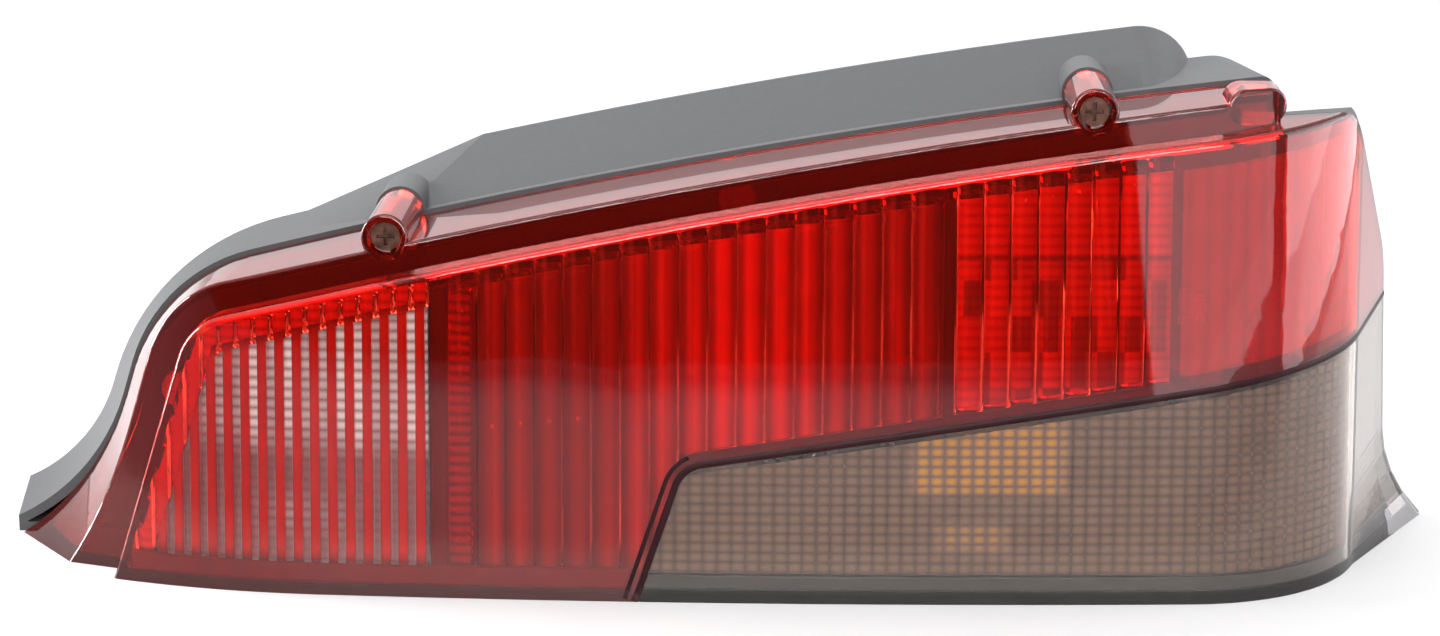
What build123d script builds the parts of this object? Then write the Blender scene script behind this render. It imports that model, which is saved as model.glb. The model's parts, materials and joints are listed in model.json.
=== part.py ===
"""Rear lamp of a small hatchback, right hand: housing, two lenses, five bulbs in cups and a bulb carrier."""

import os
from math import radians, tan

from build123d import *

os.makedirs("parts", exist_ok=True)

# Sizes are in millimetres. Places are measured from the lamp's middle along x (left is minus),
# from the front along y (into the car) and from the flat bottom edge along z.

# Front face seen from above: a shallow arc, a tighter end on the left and a turned corner on the right
face_apex_x = 10
face_apex_y = -6.6
face_radius = 1900
face_arc_left = -100
face_arc_right = 118
end_radius = 200
corner_run = 43.5
corner_depth = 33.5
side_depth = 74
lean = 0.12

# Flared skirt at the bottom of the turned side
skirt_height = 24
skirt_flare = 10
skirt_steps = 4

# Front face seen from the front
face_left = 152.5
left_slope = 0.31
top_left_x = -118
top_left_z = 69.5
top_right_x = 157
top_right_z = 117.6
top_bulge = 4.9
face_corner = 16

# Edge of the turned side seen from the side
side_top_y = 34
side_top_z = 118.2
side_top_radius = 20
side_knee_z = 72
side_knee_radius = 18

# Lens
skin = 2.4
rim_step = 8
rim_rise = 7.1
rim_front_y = 10
rim_front_side = 6.5
rim_front_foot = 0.3
rim_front_corner = 22
rim_side = 15
rim_foot = 17
rim_corner = 45
rim_end_x = 138
joint_y = 45
foot_height = 38
face_round = 1.4
rim_round = 1
ear_round = 0.8
edge_reach = 3

# Seam between the red and the smoked lens
seam_foot_x = -20
seam_corner_x = -8.5
seam_z = 34.7
seam_slope = 0.15
seam_corner = 8

# Dark wall behind the seam that keeps the light of the two lenses apart
divider_wall = 1.6
divider_gap = 0.1
divider_depth = 8

# Flutes on the back of the red lens, with the pitch of each cell
flute_height = 1.5
reverse_flute_pitch = 4.4
tail_flute_pitch = 7.1
stop_flute_pitch = 6.6
flute_seam_gap = 3

# Clear pane of the reversing cell, whose ribs fill slots between red bars
slot_width = 2.1
slot_fit = 0.05
pane_margin = 8
pane_lap = 3
pane_gap = 0.2
pane_wall = 1.2

# Dark wall between the reversing and the tail cell
cell_wall = 3.4
cell_wall_gap = 0.3

# Screw ears and lug on the top of the rim
ear_radius = 6
ear_rise = 9.2
ear_left_x = -83
ear_right_x = 92
lug_x = 132
lug_rise = 5
lug_length = 6
lug_radius = 4.6
lug_back_y = 34
ear_bore_radius = 4.4
ear_recess = 5
screw_radius = 1.9
screw_clearance = 0.3
screw_grip = 0.05
screw_head_radius = 3.6
screw_head_height = 2.4
screw_slot_width = 0.9
screw_slot_length = 4.6
screw_slot_depth = 1.1
screw_tip_y = 60

# Housing
gasket_thickness = 1.5
gasket_width = 2
gasket_inset = 0.2
housing_overhang = 1
housing_wall = 2.4
back_y = 86
back_side = 25
back_corner = 68
back_foot_height = 31
housing_foot = 30
back_end_corner = 12
back_round = 2
front_end_corner = 3
tip_x = -186
tip_back_x = -192
boss_radius = 6.5
boss_length = 18
box_left_x = -118
box_front_x = -86
box_top_x = -64
box_right_x = 122
box_bottom_z = 58
box_rise = 19
box_corner = 14
side_gap = 0.3
wing_inset = 1

# Cups behind the lenses
cup_set_back = 9
cup_wall = 1.2
cup_floor = 1.5
cup_vertex_y = 80
cup_focus = 27
cup_margin = 5
cup_seam_gap = 2
cup_gap = 1
reverse_tail_x = -69
marker_indicator_x = 42
tail_stop_x = 57
stop_end_x = 112
collar_wall = 2.5
filter_gap = 2.2
filter_wall = 1.2
filter_fit = 0.2
filter_round = 3

# Bulbs, each given by the place of its axis
bulbs = {
    "reverse": (-104, 36),
    "tail": (-5, 66),
    "stop": (84, 79),
    "marker": (16, 21.5),
    "indicator": (71, 23),
}
glass_radius = 11
glass_neck_radius = 6.8
glass_wall = 0.8
glass_centre_y = 57
base_radius = 7.5
base_front_y = 79
base_length = 17.5
tip_radius = 3
tip_length = 1.5
pin_radius = 1
pin_reach = 1.6
pin_y = 88
filament_length = 9
filament_radius = 0.6
post_radius = 0.4

# Bulb carrier on the back
bulb_hole_radius = 12
carrier_margin = 4
carrier_thickness = 2.5
carrier_gasket_thickness = 1.5
carrier_gasket_width = 2.8
socket_wall = 2.3
socket_fit = 0.2
socket_front_y = 81
strip_thickness = 0.8
strip_width = 6
strip_ring = 3
contact_length = 18
contact_width = 5
contact_thickness = 0.6
carrier_screws = {"left": (-60, 32), "right": (60, 52)}
carrier_screw_tip = 10
spacer_radius = 5

# Connector on the carrier
connector_x = 30
connector_z = 52
connector_width = 30
connector_height = 14
connector_wall = 1.6
connector_length = 16
terminal_count = 6
terminal_pitch = 4.2
terminal_width = 2.8
terminal_thickness = 0.8
terminal_reach = 9
terminal_root = 0.8

# Foam seal and fixing studs towards the car
seal_gap = 1
seal_width = 3.4
seal_thickness = 6
stud_top = (0, 97)
studs = {"left": (-148, 30), "right": (122, 55), "top": stud_top}
stud_radius = 3
stud_length = 21
stud_shoulder_radius = 3.6
stud_fit = 0.05
stud_head_radius = 5
stud_head_height = 3
pad_radius = 8
pad_height = 5

# Places that follow from the sizes above
gasket_y = joint_y + gasket_thickness
filament_y = cup_vertex_y - cup_focus
cup_back_y = back_y - housing_wall
mount_y = back_y + pad_height
flute_back = skin + flute_height
pane_end_x = reverse_tail_x - cell_wall / 2 - cell_wall_gap
plate_y = back_y + carrier_gasket_thickness
plate_back_y = plate_y + carrier_thickness
base_back_y = base_front_y + base_length
tip_y = base_back_y + tip_length
carrier_radius = bulb_hole_radius + carrier_margin
socket_bore = base_radius + socket_fit
socket_radius = socket_bore + socket_wall
side_start_x = rim_end_x + housing_overhang + side_gap

# Reach of the blocks that cut and bound the pieces, well past the lamp on every side
far_x = 2 * face_left
far_y = 2 * back_y
far_z = 2 * side_top_z
overrun = 1
meeting_steps = 30

# The origin of the part is the middle of the top stud on the mounting plane
origin = Vector(stud_top[0], mount_y, stud_top[1])


def level(z):
    """Horizontal plane at a height above the bottom edge."""
    return Plane(Vector(0, 0, z) - origin)


def front(y):
    """Upright plane facing the viewer at a depth behind the front."""
    return Plane(Vector(0, y, 0) - origin, x_dir=(1, 0, 0), z_dir=(0, -1, 0))


def side(x):
    """Upright plane across the lamp, with y to the right and z up."""
    return Plane(Vector(x, 0, 0) - origin, x_dir=(0, 1, 0), z_dir=(1, 0, 0))


def axis_at(x, z):
    """Line into the car through a place on the front."""
    return Axis(Vector(x, 0, z) - origin, (0, 1, 0))


def face_y(x):
    """Depth of the front face at the bottom edge."""
    y = face_apex_y + (x - face_apex_x) ** 2 / (2 * face_radius)
    if x < face_arc_left:
        y += (x - face_arc_left) ** 2 / (2 * end_radius)
    return y


def top_z(x):
    """Height of the front face's top edge."""
    middle = (top_left_x + top_right_x) / 2
    half = (top_right_x - top_left_x) / 2
    chord = top_left_z + (top_right_z - top_left_z) * (x - top_left_x) / (2 * half)
    return chord + top_bulge * (1 - ((x - middle) / half) ** 2)


def left_x(z):
    """Left edge of the front face at a height."""
    return left_slope * z - face_left


def seam_at(x):
    """Height of the seam between the two lenses."""
    return seam_z + seam_slope * x


def plan(z, inset, set_back, flare):
    """Everything behind the front face at one height, seen from above."""
    shift = set_back + lean * z
    far_left = -far_x
    end_x = left_x(0) - rim_front_foot - overrun
    with BuildSketch(level(z)) as region:
        with BuildLine():
            arc_left = (face_arc_left, face_y(face_arc_left) + shift)
            arc_right = (face_arc_right, face_y(face_arc_right) + shift)
            arc = ThreePointArc(arc_left, (face_apex_x, face_apex_y + shift), arc_right)
            end_middle = (face_arc_left + end_x) / 2
            end = ThreePointArc(
                arc_left,
                (end_middle, face_y(end_middle) + shift),
                (end_x, face_y(end_x) + shift),
            )
            far_point = end @ 1 + (end % 1) * ((end_x - far_left) / abs((end % 1).X))
            Line(end @ 1, far_point)
            corner_end = Vector(*arc_right) + Vector(corner_run, corner_depth)
            corner = TangentArc(arc_right, corner_end, tangent=arc % 1)
            heading = corner % 1
            run = (side_depth + shift - corner_end.Y) / heading.Y
            side_end = corner_end + heading * run + Vector(flare, 0)
            outward = (side_end - corner_end).normalized()
            side_far = side_end + outward * ((far_y - side_end.Y) / outward.Y)
            Line(corner_end, side_far)
            Polyline(side_far, (far_left, far_y), far_point)
        make_face()
        if inset:
            offset(amount=-inset, kind=Kind.INTERSECTION)
    return region.sketch


def behind_face(inset, set_back):
    """Solid of everything behind the leaning front face, moved in and back."""
    def slice_at(z):
        return plan(z, inset, set_back, skirt_flare * (1 - z / skirt_height) ** 2)

    with BuildPart() as region:
        heights = [skirt_height * i / skirt_steps for i in range(1, skirt_steps + 1)]
        loft([slice_at(z) for z in [-overrun] + heights], ruled=True)
        extrude(slice_at(skirt_height), amount=far_z, dir=(0, lean, 1))
    return region.part


def outline(y, out, rise, foot, corner, right, right_corner, inset, knee_z=foot_height):
    """Outline of the lamp from the front: left edge moved out, top raised, flared foot at the left."""
    def edge(z):
        return left_x(z) - out

    # The left edge meets the curved top edge where these two heights agree
    peak = (edge(0), 0)
    for _ in range(meeting_steps):
        height = top_z(peak[0]) + rise
        peak = (edge(height), height)
    knee = (edge(knee_z), knee_z)
    toe = (edge(0) - foot, 0)
    shoulder = (right, top_z(right) + rise)
    middle = (peak[0] + right) / 2
    # A corner never takes more than the straight stretch of the left edge
    down = Vector(*knee) - Vector(*peak)
    along = Vector(middle, top_z(middle) + rise) - Vector(*peak)
    room = down.length * tan(radians(down.get_angle(along) / 2))
    with BuildSketch(front(y)) as region:
        with BuildLine():
            Line((right, 0), toe)
            TangentArc(knee, toe, tangent=(-left_slope, -1))
            Line(knee, peak)
            ThreePointArc(peak, (middle, top_z(middle) + rise), shoulder)
            Line(shoulder, (right, 0))
        make_face()
        fillet(region.vertices().sort_by_distance(peak)[0], min(corner, room))
        if right_corner:
            fillet(region.vertices().sort_by_distance(shoulder)[0], right_corner)
        if inset:
            offset(amount=-inset, kind=Kind.INTERSECTION)
    return region.sketch


def face_outline(y, inset, right=far_x):
    """Outline of the raised front face, running past the turned corner unless it ends before it."""
    return outline(y, 0, 0, rim_front_foot, face_corner, right, 0, inset)


def rim_back(inset):
    """Outline of the lens at its joint with the housing."""
    return outline(joint_y, rim_side, rim_rise, rim_foot, rim_corner, rim_end_x, 0, inset)


def rim_block(inset):
    """Solid inside the flared rim of the lens, from the rim's front to the joint."""
    with BuildPart() as block:
        fore = outline(
            rim_front_y, rim_front_side, rim_rise, rim_front_foot, rim_front_corner, rim_end_x, 0, inset
        )
        loft([fore, rim_back(inset)], ruled=True)
        add(behind_face(inset, rim_step), mode=Mode.INTERSECT)
    return block.part


def side_edge(x, grow):
    """Outline of the turned side from the side, up to its back edge."""
    with BuildSketch(side(x)) as region:
        with BuildLine():
            Polyline(
                (0, 0),
                (side_depth, 0),
                (side_depth, side_knee_z),
                (side_top_y, side_top_z),
                (0, side_top_z),
                close=True,
            )
        make_face()
        fillet(region.vertices().sort_by_distance((side_depth, side_knee_z))[0], side_knee_radius)
        fillet(region.vertices().sort_by_distance((side_top_y, side_top_z))[0], side_top_radius)
        if grow:
            offset(amount=grow, kind=Kind.INTERSECTION)
    return region.sketch


def face_block(inset, open_back):
    """Solid inside the front face and the turned side, back to the joint."""
    with BuildPart() as block:
        right = side_start_x + inset + open_back
        extrude(face_outline(joint_y + open_back, inset, right), amount=joint_y + open_back + far_y)
        panel = side_edge(side_start_x - open_back, open_back)
        extrude(panel, amount=far_x - side_start_x)
        extrude(face_outline(far_y, inset), amount=2 * far_y, mode=Mode.INTERSECT)
        add(behind_face(inset, 0), mode=Mode.INTERSECT)
    return block.part


def rounded(block, out, rise, radius):
    """The block with its front edge rounded along the left and the top."""
    def at_edge(edge):
        middle = edge @ 0.5 + origin
        at_top = middle.Z > top_z(middle.X) + rise - edge_reach
        at_left = middle.X < left_x(middle.Z) - out + edge_reach
        in_front = middle.Y < side_top_y - overrun and middle.Z > overrun
        return edge.geom_type == GeomType.BSPLINE and in_front and (at_top or at_left)

    with BuildPart() as solid:
        add(block)
        fillet(solid.edges().filter_by(at_edge), radius)
    return solid.part


def smoked_region(grow):
    """Solid below the seam, through the whole depth of the lamp."""
    with BuildPart() as block:
        with BuildSketch(front(far_y)) as region:
            corner = (seam_corner_x, seam_at(seam_corner_x))
            with BuildLine():
                Polyline(
                    (seam_foot_x, 0),
                    corner,
                    (far_x, seam_at(far_x)),
                    (far_x, -far_z),
                    (seam_foot_x, -far_z),
                    close=True,
                )
            make_face()
            fillet(region.vertices().sort_by_distance(corner)[0], seam_corner)
            if grow:
                offset(amount=grow, kind=Kind.INTERSECTION)
        extrude(amount=2 * far_y)
    return block.part


def ear_z(x):
    """Height of an ear's middle, on the top of the rim."""
    return top_z(x) + ear_rise


def ear_seat_y(x):
    """Depth of the floor under a screw head."""
    return face_y(x) + rim_step + lean * ear_z(x) + ear_recess


# Both lenses as one shell, before the seam divides it
ear_places = [(x, ear_z(x)) for x in (ear_left_x, ear_right_x)]

with BuildPart() as ears:
    with BuildSketch(front(joint_y)):
        with Locations(*ear_places):
            Circle(ear_radius)
    extrude(amount=joint_y)
    with BuildSketch(front(lug_back_y)):
        with Locations((lug_x, top_z(lug_x) + lug_rise)):
            SlotCenterToCenter(lug_length, 2 * lug_radius)
    extrude(amount=lug_back_y)
    add(behind_face(0, rim_step), mode=Mode.INTERSECT)
    fillet(ears.edges().filter_by(GeomType.BSPLINE), ear_round)

with BuildPart() as lens_shell:
    add(rounded(face_block(0, 0), 0, 0, face_round))
    add(rounded(rim_block(0), rim_front_side, rim_rise, rim_round))
    add(face_block(skin, overrun), mode=Mode.SUBTRACT)
    add(rim_block(skin), mode=Mode.SUBTRACT)
    add(ears.part)
    for x, z in ear_places:
        with BuildSketch(front(joint_y)):
            with Locations((x, z)):
                Circle(screw_radius + screw_clearance)
        extrude(amount=joint_y, mode=Mode.SUBTRACT)
        with BuildSketch(front(ear_seat_y(x))):
            with Locations((x, z)):
                Circle(ear_bore_radius)
        extrude(amount=joint_y, mode=Mode.SUBTRACT)


def flute_centres(start, stop, pitch):
    """Places of the flutes of one cell along the back of the lens skin."""
    count = int((stop - start) / pitch)
    first = start + (stop - start - (count - 1) * pitch) / 2
    radius = flute_radius(pitch)
    return [
        (first + i * pitch, face_y(first + i * pitch) + skin + flute_height - radius) for i in range(count)
    ]


def flute_radius(pitch):
    """Radius of a flute that is as wide as its pitch."""
    return (pitch**2 / 4 + flute_height**2) / (2 * flute_height)


def slots(fit):
    """Upright slots between the bars of the reversing cell, made smaller by a fit."""
    places = flute_centres(left_x(0), reverse_tail_x, reverse_flute_pitch)
    with BuildPart() as block:
        with BuildSketch(front(joint_y)):
            with Locations(*[(x + reverse_flute_pitch / 2, 0) for x, _ in places]):
                Rectangle(slot_width - 2 * fit, 2 * far_z)
        extrude(amount=far_y)
        extrude(face_outline(joint_y, pane_margin + fit), amount=far_y, mode=Mode.INTERSECT)
        split(bisect_by=side(pane_end_x), keep=Keep.BOTTOM)
    return block.part


def pane_plate():
    """Plate of the clear pane behind the bars."""
    with BuildPart() as block:
        extrude(face_outline(joint_y, pane_margin - pane_lap), amount=far_y)
        split(bisect_by=side(pane_end_x), keep=Keep.BOTTOM)
        add(behind_face(flute_back + pane_gap, 0), mode=Mode.INTERSECT)
    return block.part


flute_cells = [
    (left_x(0), reverse_tail_x, reverse_flute_pitch),
    (reverse_tail_x, tail_stop_x, tail_flute_pitch),
    (tail_stop_x, stop_end_x, stop_flute_pitch),
]

with BuildPart() as flutes:
    with BuildSketch(level(0)):
        for start, stop, pitch in flute_cells:
            with Locations(*flute_centres(start, stop, pitch)):
                Circle(flute_radius(pitch))
    extrude(amount=far_z, dir=(0, lean, 1))
    add(behind_face(skin / 2, 0), mode=Mode.INTERSECT)
    extrude(face_outline(far_y, skin), amount=2 * far_y, mode=Mode.INTERSECT)
    add(smoked_region(flute_seam_gap), mode=Mode.SUBTRACT)

with BuildPart() as red_lens:
    add(lens_shell.part)
    add(smoked_region(0), mode=Mode.SUBTRACT)
    add(flutes.part)
    add(slots(0), mode=Mode.SUBTRACT)
red_lens.part.label = "red_lens"
export_step(red_lens.part, "parts/red_lens.step")

with BuildPart() as clear_pane:
    add(slots(slot_fit))
    add(behind_face(slot_fit, 0), mode=Mode.INTERSECT)
    add(pane_plate())
    add(behind_face(flute_back + pane_gap + pane_wall, 0), mode=Mode.SUBTRACT)
clear_pane.part.label = "clear_pane"
export_step(clear_pane.part, "parts/clear_pane.step")

with BuildPart() as smoked_lens:
    add(lens_shell.part)
    add(smoked_region(0), mode=Mode.INTERSECT)
smoked_lens.part.label = "smoked_lens"
export_step(smoked_lens.part, "parts/smoked_lens.step")

with BuildPart() as lens_gasket:
    extrude(rim_back(gasket_inset), amount=-gasket_thickness)
    extrude(rim_back(gasket_inset + gasket_width), amount=-gasket_thickness, mode=Mode.SUBTRACT)
    with BuildSketch(front(joint_y)):
        with Locations(*ear_places):
            Circle(screw_radius + screw_clearance)
    extrude(amount=-gasket_thickness, mode=Mode.SUBTRACT)
lens_gasket.part.label = "lens_gasket"
export_step(lens_gasket.part, "parts/lens_gasket.step")


def screw_solid(x, z, seat, tip):
    """Pan head screw with a cross recess, from the seat of its head to its tip."""
    way = 1 if tip > seat else -1
    with BuildPart() as screw:
        with BuildSketch(front(seat)):
            with Locations((x, z)):
                Circle(screw_head_radius)
        extrude(amount=way * screw_head_height)
        with BuildSketch(front(seat)):
            with Locations((x, z)):
                Circle(screw_radius)
        extrude(amount=seat - tip)
        with BuildSketch(front(seat - way * screw_head_height)):
            with Locations((x, z)):
                Rectangle(screw_slot_length, screw_slot_width)
                Rectangle(screw_slot_width, screw_slot_length)
        extrude(amount=-way * screw_slot_depth, mode=Mode.SUBTRACT)
    return screw.part


for name, x in (("left", ear_left_x), ("right", ear_right_x)):
    with BuildPart() as lens_screw:
        add(screw_solid(x, ear_z(x), ear_seat_y(x), screw_tip_y))
    lens_screw.part.label = f"lens_screw_{name}"
    export_step(lens_screw.part, f"parts/lens_screw_{name}.step")


def box_outline(y, ramp_x, rise, inset):
    """Outline of the raised box on the housing, with a ramp at its left end."""
    ramp_foot = (box_left_x, top_z(box_left_x) + rim_rise)
    ramp_top = (ramp_x, top_z(ramp_x) + rise)
    shoulder = (box_right_x, top_z(box_right_x) + rise)
    middle = (ramp_x + box_right_x) / 2
    with BuildSketch(front(y)) as region:
        with BuildLine():
            Polyline(shoulder, (box_right_x, box_bottom_z), (box_left_x, box_bottom_z), ramp_foot, ramp_top)
            ThreePointArc(ramp_top, (middle, top_z(middle) + rise), shoulder)
        make_face()
        fillet(region.vertices().sort_by_distance(shoulder)[0], box_corner)
        if inset:
            offset(amount=-inset, kind=Kind.INTERSECTION)
    return region.sketch


def housing_block(inset, back):
    """Solid inside the housing, from its front edge to a depth at the back."""
    right = rim_end_x + housing_overhang
    rise = rim_rise + housing_overhang
    with BuildPart() as block:
        front_side = rim_side + housing_overhang
        fore = outline(gasket_y, front_side, rise, housing_foot, rim_corner, right, front_end_corner, inset)
        aft = outline(
            back, back_side, rise, housing_foot, back_corner, right, back_end_corner, inset, back_foot_height
        )
        loft([fore, aft], ruled=True)
        box_fore = box_outline(gasket_y, box_front_x, rim_rise, inset)
        loft([box_fore, box_outline(back, box_top_x, box_rise, inset)], ruled=True)
    return block.part


def tip_cut(inset):
    """Slanted plane that ends the housing's tip at the left, moved in by an inset."""
    at_front = Vector(tip_x + inset, gasket_y, 0)
    run = Vector(tip_back_x - tip_x, back_y - gasket_y, 0)
    return Plane(at_front - origin, x_dir=run, z_dir=run.cross(Vector(0, 0, 1)))


with BuildPart() as wing:
    start = rim_end_x + gasket_inset
    extrude(side_edge(start, housing_wall), amount=far_x)
    extrude(side_edge(start, 0), amount=far_x, mode=Mode.SUBTRACT)
    with BuildSketch(level(0)):
        with Locations((start, gasket_y)):
            Rectangle(side_start_x + side_gap - start, joint_y, align=(Align.MIN, Align.MAX))
    extrude(amount=far_z, mode=Mode.SUBTRACT)
    extrude(face_outline(far_y, 0), amount=2 * far_y, mode=Mode.INTERSECT)
    add(behind_face(wing_inset, 0), mode=Mode.INTERSECT)

with BuildPart() as housing_hollow:
    add(housing_block(housing_wall, cup_back_y))
    split(bisect_by=tip_cut(housing_wall), keep=Keep.TOP)

with BuildPart() as housing:
    add(housing_block(0, back_y))
    split(bisect_by=tip_cut(0), keep=Keep.TOP)
    fillet(housing.faces().sort_by(Axis.Y)[-1].outer_wire().edges(), back_round)
    add(housing_hollow.part, mode=Mode.SUBTRACT)
    add(wing.part)
    with BuildSketch(front(gasket_y)):
        with Locations(*ear_places):
            Circle(boss_radius)
    extrude(amount=-boss_length)
    with BuildSketch(front(back_y)):
        with Locations(*studs.values()):
            Circle(pad_radius)
    extrude(amount=-pad_height)
    with BuildSketch(front(gasket_y)):
        with Locations(*ear_places):
            Circle(screw_radius + screw_grip)
    extrude(amount=-boss_length, mode=Mode.SUBTRACT)
    with BuildSketch(front(mount_y)):
        with Locations(*studs.values()):
            Circle(stud_shoulder_radius + stud_fit)
        with Locations(*bulbs.values()):
            Circle(bulb_hole_radius)
        with Locations(*carrier_screws.values()):
            Circle(screw_radius + screw_grip)
    extrude(amount=pad_height + housing_wall, mode=Mode.SUBTRACT)
    with BuildSketch(front(cup_back_y)):
        with Locations(*studs.values()):
            Circle(stud_head_radius + stud_fit)
    extrude(amount=stud_head_height, mode=Mode.SUBTRACT)
housing.part.label = "housing"
export_step(housing.part, "parts/housing.step")

for name, (x, z) in studs.items():
    with BuildPart() as stud:
        with BuildSketch(front(cup_back_y)):
            with Locations((x, z)):
                Circle(stud_head_radius)
        extrude(amount=stud_head_height)
        with BuildSketch(front(cup_back_y)):
            with Locations((x, z)):
                Circle(stud_shoulder_radius)
        extrude(amount=-(housing_wall + pad_height))
        with BuildSketch(front(mount_y)):
            with Locations((x, z)):
                Circle(stud_radius)
        extrude(amount=-stud_length)
    stud.part.label = f"stud_{name}"
    export_step(stud.part, f"parts/stud_{name}.step")

# Each cell's left and right limit, and whether it lies below the seam
cells = {
    "reverse": (-far_x, reverse_tail_x, False),
    "tail": (reverse_tail_x, tail_stop_x, False),
    "stop": (tail_stop_x, stop_end_x, False),
    "marker": (seam_foot_x, marker_indicator_x, True),
    "indicator": (marker_indicator_x, stop_end_x, True),
}


def cell_prism(name, inset, set_back):
    """Straight block of one cell, from a distance behind the face to the back of the housing."""
    left, right, low = cells[name]
    with BuildPart() as prism:
        extrude(face_outline(cup_back_y, cup_margin + inset), amount=far_y)
        with BuildSketch(front(cup_back_y)):
            with Locations(((left + right) / 2, 0)):
                Rectangle(right - left - cup_gap - 2 * inset, 2 * far_z)
        extrude(amount=far_y, mode=Mode.INTERSECT)
        add(behind_face(0, set_back), mode=Mode.INTERSECT)
        if low:
            add(smoked_region(-cup_seam_gap - inset), mode=Mode.INTERSECT)
        else:
            add(smoked_region(cup_seam_gap + inset), mode=Mode.SUBTRACT)
    return prism.part


def bowl(x, z, vertex):
    """Solid in front of a parabolic bowl around a bulb's axis."""
    reach = far_x
    with BuildPart() as solid:
        with BuildSketch(Plane(Vector(x, 0, z) - origin)):
            with BuildLine():
                rim = (reach, vertex - reach**2 / (4 * cup_focus))
                Bezier((0, vertex), (reach / 2, vertex), rim)
                Line(rim, (0, rim[1]))
                Line((0, rim[1]), (0, vertex))
            make_face()
        revolve(axis=axis_at(x, z))
    return solid.part


for name, (x, z) in bulbs.items():
    with BuildPart() as hollow:
        add(cell_prism(name, cup_wall, cup_set_back - overrun))
        add(bowl(x, z, cup_vertex_y), mode=Mode.INTERSECT)

    with BuildPart() as reflector:
        add(cell_prism(name, 0, cup_set_back))
        add(bowl(x, z, cup_vertex_y + cup_floor), mode=Mode.INTERSECT)
        add(hollow.part, mode=Mode.SUBTRACT)
        with BuildSketch(front(cup_back_y)):
            with Locations((x, z)):
                Circle(bulb_hole_radius + collar_wall)
                Circle(bulb_hole_radius, mode=Mode.SUBTRACT)
        extrude(amount=cup_back_y - cup_vertex_y + cup_floor)
        with BuildSketch(front(cup_back_y)):
            with Locations((x, z)):
                Circle(bulb_hole_radius)
        extrude(amount=cup_back_y, mode=Mode.SUBTRACT)
    reflector.part.label = f"{name}_reflector"
    export_step(reflector.part, f"parts/{name}_reflector.step")

    with BuildPart() as glass:
        with BuildSketch(front(base_front_y)):
            with Locations((x, z)):
                Circle(glass_neck_radius)
        extrude(amount=base_front_y - glass_centre_y)
        with Locations(Vector(x, glass_centre_y, z) - origin):
            Sphere(glass_radius)
        with BuildSketch(front(base_front_y)):
            with Locations((x, z)):
                Circle(glass_neck_radius - glass_wall)
        extrude(amount=base_front_y - glass_centre_y, mode=Mode.SUBTRACT)
        with Locations(Vector(x, glass_centre_y, z) - origin):
            Sphere(glass_radius - glass_wall, mode=Mode.SUBTRACT)
    glass.part.label = f"{name}_bulb_glass"
    export_step(glass.part, f"parts/{name}_bulb_glass.step")

    with BuildPart() as base:
        with BuildSketch(front(base_front_y)):
            with Locations((x, z)):
                Circle(base_radius)
        extrude(amount=-base_length)
        with BuildSketch(front(base_back_y)):
            with Locations((x, z)):
                Circle(tip_radius)
        extrude(amount=-tip_length)
        with BuildSketch(side(x)):
            with Locations((pin_y, z)):
                Circle(pin_radius)
        extrude(amount=base_radius + pin_reach, both=True)
    base.part.label = f"{name}_bulb_base"
    export_step(base.part, f"parts/{name}_bulb_base.step")

    with BuildPart() as filament:
        with BuildSketch(front(base_front_y)):
            with Locations((x - filament_length / 2, z), (x + filament_length / 2, z)):
                Circle(post_radius)
        extrude(amount=base_front_y - filament_y)
        with BuildSketch(side(x)):
            with Locations((filament_y, z)):
                Circle(filament_radius)
        extrude(amount=filament_length / 2 + filament_radius, both=True)
    filament.part.label = f"{name}_filament"
    export_step(filament.part, f"parts/{name}_filament.step")

    with BuildPart() as contact:
        with BuildSketch(front(tip_y)):
            with Locations((x, z)):
                Rectangle(contact_length, contact_width)
        extrude(amount=-contact_thickness)
    contact.part.label = f"{name}_contact"
    export_step(contact.part, f"parts/{name}_contact.step")

with BuildPart() as amber_filter:
    x, z = bulbs["indicator"]
    cap_radius = glass_radius + filter_gap + filter_wall
    cap_front_y = glass_centre_y - cap_radius
    with BuildSketch(front(cap_front_y)):
        with Locations((x, z)):
            Circle(cap_radius)
    extrude(amount=cap_front_y - cup_back_y)
    fillet(amber_filter.edges().group_by(Axis.Y)[0], filter_round)
    with BuildSketch(front(cap_front_y + filter_wall)):
        with Locations((x, z)):
            Circle(cap_radius - filter_wall)
    extrude(amount=cap_front_y - cup_back_y, mode=Mode.SUBTRACT)
    add(bowl(x, z, cup_vertex_y - filter_fit), mode=Mode.INTERSECT)
amber_filter.part.label = "amber_filter"
export_step(amber_filter.part, "parts/amber_filter.step")

with BuildPart() as divider:
    add(smoked_region(divider_wall / 2))
    add(smoked_region(-divider_wall / 2), mode=Mode.SUBTRACT)
    extrude(face_outline(far_y, cup_margin), amount=2 * far_y, mode=Mode.INTERSECT)
    add(behind_face(skin + divider_gap, 0), mode=Mode.INTERSECT)
    add(behind_face(0, cup_set_back + divider_depth), mode=Mode.SUBTRACT)
    split(bisect_by=side(stop_end_x), keep=Keep.BOTTOM)
divider.part.label = "divider"
export_step(divider.part, "parts/divider.step")

with BuildPart() as cell_divider:
    with BuildSketch(front(far_y)):
        with Locations((reverse_tail_x, 0)):
            Rectangle(cell_wall, 2 * far_z)
    extrude(amount=2 * far_y)
    extrude(face_outline(far_y, cup_margin), amount=2 * far_y, mode=Mode.INTERSECT)
    add(behind_face(flute_back + divider_gap, 0), mode=Mode.INTERSECT)
    add(behind_face(0, cup_set_back - cell_wall_gap), mode=Mode.SUBTRACT)
cell_divider.part.label = "cell_divider"
export_step(cell_divider.part, "parts/cell_divider.step")


def around_bulbs(y, radius):
    """Smooth outline drawn round all the bulbs."""
    with BuildSketch(front(y)) as region:
        with Locations(*bulbs.values()):
            Circle(radius)
        make_hull()
    return region.sketch


terminal_xs = [connector_x + (i - (terminal_count - 1) / 2) * terminal_pitch for i in range(terminal_count)]

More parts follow.
